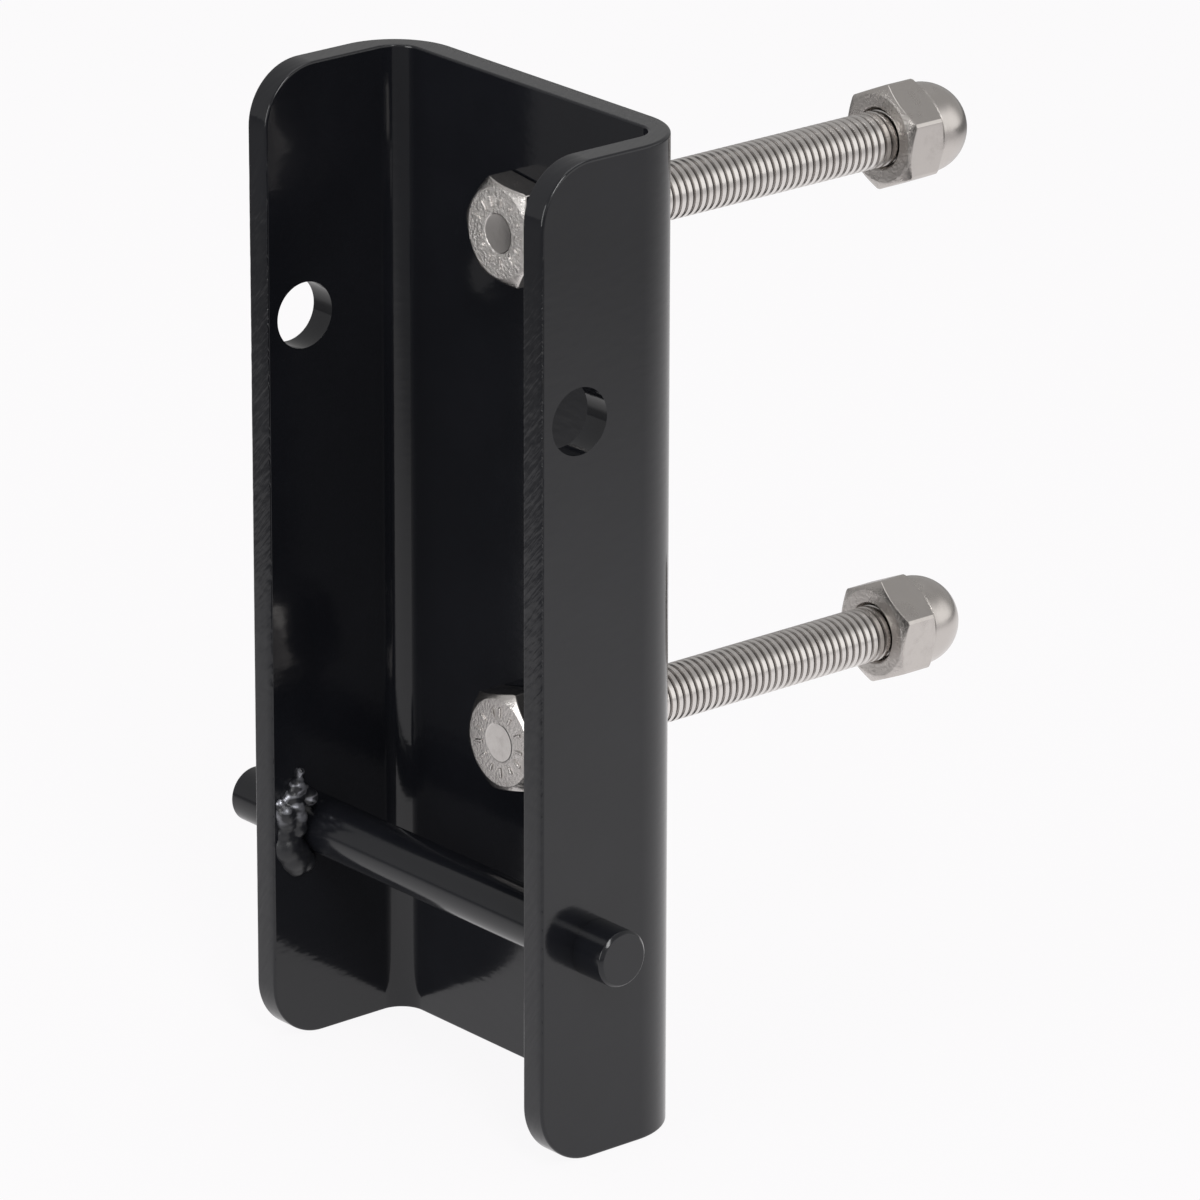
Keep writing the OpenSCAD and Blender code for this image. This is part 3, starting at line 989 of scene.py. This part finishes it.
    def floor(self) -> None:
        """Lays the pale sweep, white to the eye, brightest just behind the bracket."""
        bm = bmesh.new()
        bmesh.ops.create_grid(bm, x_segments=1, y_segments=1, size=self.floor_size / 2)
        bmesh.ops.translate(bm, vec=(0, 0, self.floor_z), verts=bm.verts)
        bmesh.ops.scale(bm, vec=(MM, MM, MM), verts=bm.verts)
        floor = as_object(bm, "sweep")
        made = bpy.data.materials.new("matt_white_paper_sweep")
        tree = fresh_tree(made)
        place = add_node(tree, "ShaderNodeTexCoord").outputs["Object"]
        ray = add_node(tree, "ShaderNodeLightPath").outputs
        centre = (*self.paper_centre, self.floor_z * MM)
        spot = add_node(tree, "ShaderNodeVectorMath", {1: centre}, {0: place}, operation="DISTANCE")
        # far behind the bracket the light no longer falls off
        from_spot = add_node(tree, "ShaderNodeVectorMath", {1: centre}, {0: place}, operation="SUBTRACT")
        behind = add_node(tree, "ShaderNodeVectorMath", {1: self.to_backdrop},
                          {0: from_spot.outputs["Vector"]}, operation="DOT_PRODUCT")
        past = add_node(tree, "ShaderNodeMath", {1: self.paper_kept_from}, {0: behind.outputs["Value"]},
                        operation="SUBTRACT")
        far = add_node(tree, "ShaderNodeMath", {1: 0.0}, {0: past.outputs["Value"]}, operation="MAXIMUM")
        near = add_node(tree, "ShaderNodeMath", links={0: spot.outputs["Value"], 1: far.outputs["Value"]},
                        operation="SUBTRACT")
        lit = add_node(tree, "ShaderNodeValToRGB", links={"Fac": near.outputs["Value"]})
        stops = lit.color_ramp.elements
        for distance, shade in self.paper_light:
            stop = stops.new(distance)
            stop.color = (shade, shade, shade, 1.0)
        stops.remove(stops[0])
        stops.remove(stops[-1])
        glow = add_node(tree, "ShaderNodeEmission", {"Color": linear("#fcfafb")},
                        {"Strength": lit.outputs["Color"]})
        plain = add_node(tree, "ShaderNodeEmission", {"Color": linear("#fdfcfd"), "Strength": 1.0})
        paper = add_node(tree, "ShaderNodeBsdfDiffuse", {"Color": linear("#f4f3f2")})
        direct = add_node(tree, "ShaderNodeMath", links={0: ray["Is Camera Ray"],
                                                         1: ray["Is Transmission Ray"]}, operation="MAXIMUM")
        shown = add_node(tree, "ShaderNodeMixShader", {0: 0.94}, {1: paper.outputs["BSDF"],
                                                                  2: plain.outputs["Emission"]})
        mirrored = add_node(tree, "ShaderNodeMixShader", {0: 0.85}, {1: paper.outputs["BSDF"],
                                                                     2: glow.outputs["Emission"]})
        both = add_node(tree, "ShaderNodeMixShader", links={0: direct.outputs["Value"],
                                                            1: mirrored.outputs["Shader"],
                                                            2: shown.outputs["Shader"]})
        add_node(tree, "ShaderNodeOutputMaterial", links={"Surface": both.outputs["Shader"]})
        floor.data.materials.append(made)

    def lamp(self, name: str, spot: tuple[float, float, float], size: tuple[float, float],
             watts: float) -> None:
        """Hangs one softbox of a width and a height that faces the bracket."""
        data = bpy.data.lights.new(name, "AREA")
        data.shape, data.energy = "RECTANGLE", watts
        data.size, data.size_y = size
        lamp = bpy.data.objects.new(name, data)
        lamp.location = spot
        lamp.rotation_mode = "QUATERNION"
        lamp.rotation_quaternion = Vector(spot).to_track_quat("Z", "Y")
        bpy.context.scene.collection.objects.link(lamp)

    def build(self) -> None:
        """Sets up the camera, the room and the lamps."""
        self.camera()
        self.world()
        self.floor()
        self.lamp("softbox_front", (-0.12, -1.5, 0.36), (0.8, 0.8), 7.0)
        self.lamp("softbox_side", (0.86, -0.42, 1.02), (0.3, 0.9), 7.0)
        self.lamp("softbox_top", (-0.3, 0.2, 1.6), (1.2, 1.2), 5.0)
        bpy.context.scene.view_settings.view_transform = "Standard"


def main() -> None:
    """Builds the studio and every piece of the bracket, and dresses them."""
    logging.basicConfig(level=logging.INFO, format="%(name)s: %(message)s")
    Studio().build()
    # black gloss powder coat, thin enough on the plate to show the shear's lines
    plate_coat = PowderCoat("black_gloss_powder_coat").material()
    # the same coat on smooth round bar
    pin_coat = PowderCoat("black_gloss_powder_coat_on_bar", roughness=0.12, peel_depth=0.008).material()
    # the same coat pooled over the rough weld, with bare steel as a painted highlight on its upper lumps
    weld_coat = PowderCoat("black_gloss_powder_coat_on_weld", roughness=0.3, grit_depth=0.01,
                           glint_above=-46.0).material()
    # rolled and cold headed stainless steel, a little scuffed
    bolt_steel = StainlessSteel("cold_formed_stainless_steel", roughness=0.2).material()
    # turned and polished stainless steel
    nut_steel = StainlessSteel("polished_stainless_steel", colour="#c8c3bf", stain="#aaa5a1", roughness=0.22,
                               wave_depth=0.006).material()
    Channel().build(plate_coat)
    CrossPin().build(pin_coat)
    WeldBead(Side.LEFT, seed=4, loose=0.0, reach=1.0).build(weld_coat)
    WeldBead(Side.RIGHT, seed=9, loose=0.3, reach=0.8).build(weld_coat)
    for name, z, turn, recess, scale in (("upper", UPPER_Z, -7.0, 0.06, 0.8),
                                         ("lower", LOWER_Z, 12.0, 0.02, 0.2)):
        HexBolt(z, turn=turn, name=f"{name}_bolt", recess=recess, scale=scale).build(bolt_steel)
        DomeNut(z, f"{name}_dome_nut").build(nut_steel)


if __name__ == "__main__":
    main()
